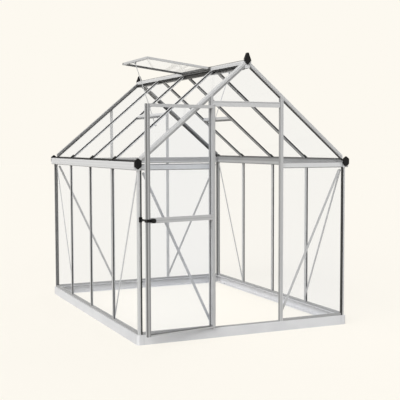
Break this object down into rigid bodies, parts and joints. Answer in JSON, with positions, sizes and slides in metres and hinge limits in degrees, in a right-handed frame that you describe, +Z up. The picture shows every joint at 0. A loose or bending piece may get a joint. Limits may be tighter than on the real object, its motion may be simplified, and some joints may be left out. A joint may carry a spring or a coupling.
{
  "type": "glass greenhouse",
  "caption": "Glass greenhouse with a gabled aluminium frame, a steel base, gutters, a hinged door standing open and opened roof vents.",
  "frame": {"origin": "centre of the base on the ground, midway between the anchor holes at the underside of the base", "axes": "+Y from the door end to the rear gable, +X to the right seen from the door, +Z up"},
  "size_m": [1.882, 2.616, 2.2204],
  "materials": {
    "aluminium_frame": "mill finish, satin",
    "base_steel": "pale grey coated steel, satin",
    "clear_glass": "clear",
    "black_plastic": "black, slightly glossy"
  },
  "bodies": {
    "frame": {"base_front": "base_steel", "base_rear": "base_steel", "base_left": "base_steel", "base_right": "base_steel", "base_corners": "base_steel", "sill_front": "aluminium_frame", "threshold": "aluminium_frame", "sill_rear": "aluminium_frame", "sill_left": "aluminium_frame", "sill_right": "aluminium_frame", "corner_posts_front": "aluminium_frame", "corner_posts_rear": "aluminium_frame", "studs_left": "aluminium_frame", "studs_right": "aluminium_frame", "studs_rear": "aluminium_frame", "door_posts": "aluminium_frame", "door_header": "aluminium_frame", "ties_front": "aluminium_frame", "tie_rear": "aluminium_frame", "gutter_left": "aluminium_frame", "gutter_right": "aluminium_frame", "rakes_front": "aluminium_frame", "rakes_rear": "aluminium_frame", "rafters_left": "aluminium_frame", "rafters_right": "aluminium_frame", "ridge_beam": "aluminium_frame", "vent_bars": "aluminium_frame", "braces_sides": "aluminium_frame", "braces_gables": "aluminium_frame", "vent_frame_left": "aluminium_frame", "vent_frame_right": "aluminium_frame", "vent_stays": "aluminium_frame", "stay_brackets": "aluminium_frame", "gutter_caps": "black_plastic", "rafter_clips": "black_plastic", "ridge_caps": "black_plastic", "hinge_brackets": "black_plastic", "door_catch": "black_plastic", "panes_left": "clear_glass", "panes_right": "clear_glass", "panes_front": "clear_glass", "panes_rear": "clear_glass", "roof_panes_left": "clear_glass", "roof_panes_right": "clear_glass", "vent_panes": "clear_glass"},
    "door": {"door_stiles": "aluminium_frame", "door_rails": "aluminium_frame", "door_panes": "clear_glass", "door_handle": "black_plastic"}
  },
  "joints": [
    {"name": "door_hinge", "type": "hinge", "parent": "frame", "child": "door", "pos_m": [-0.3005, -1.242, 0.943], "axis": [0, 0, 1], "range_deg": [0, 170.1]}
  ]
}
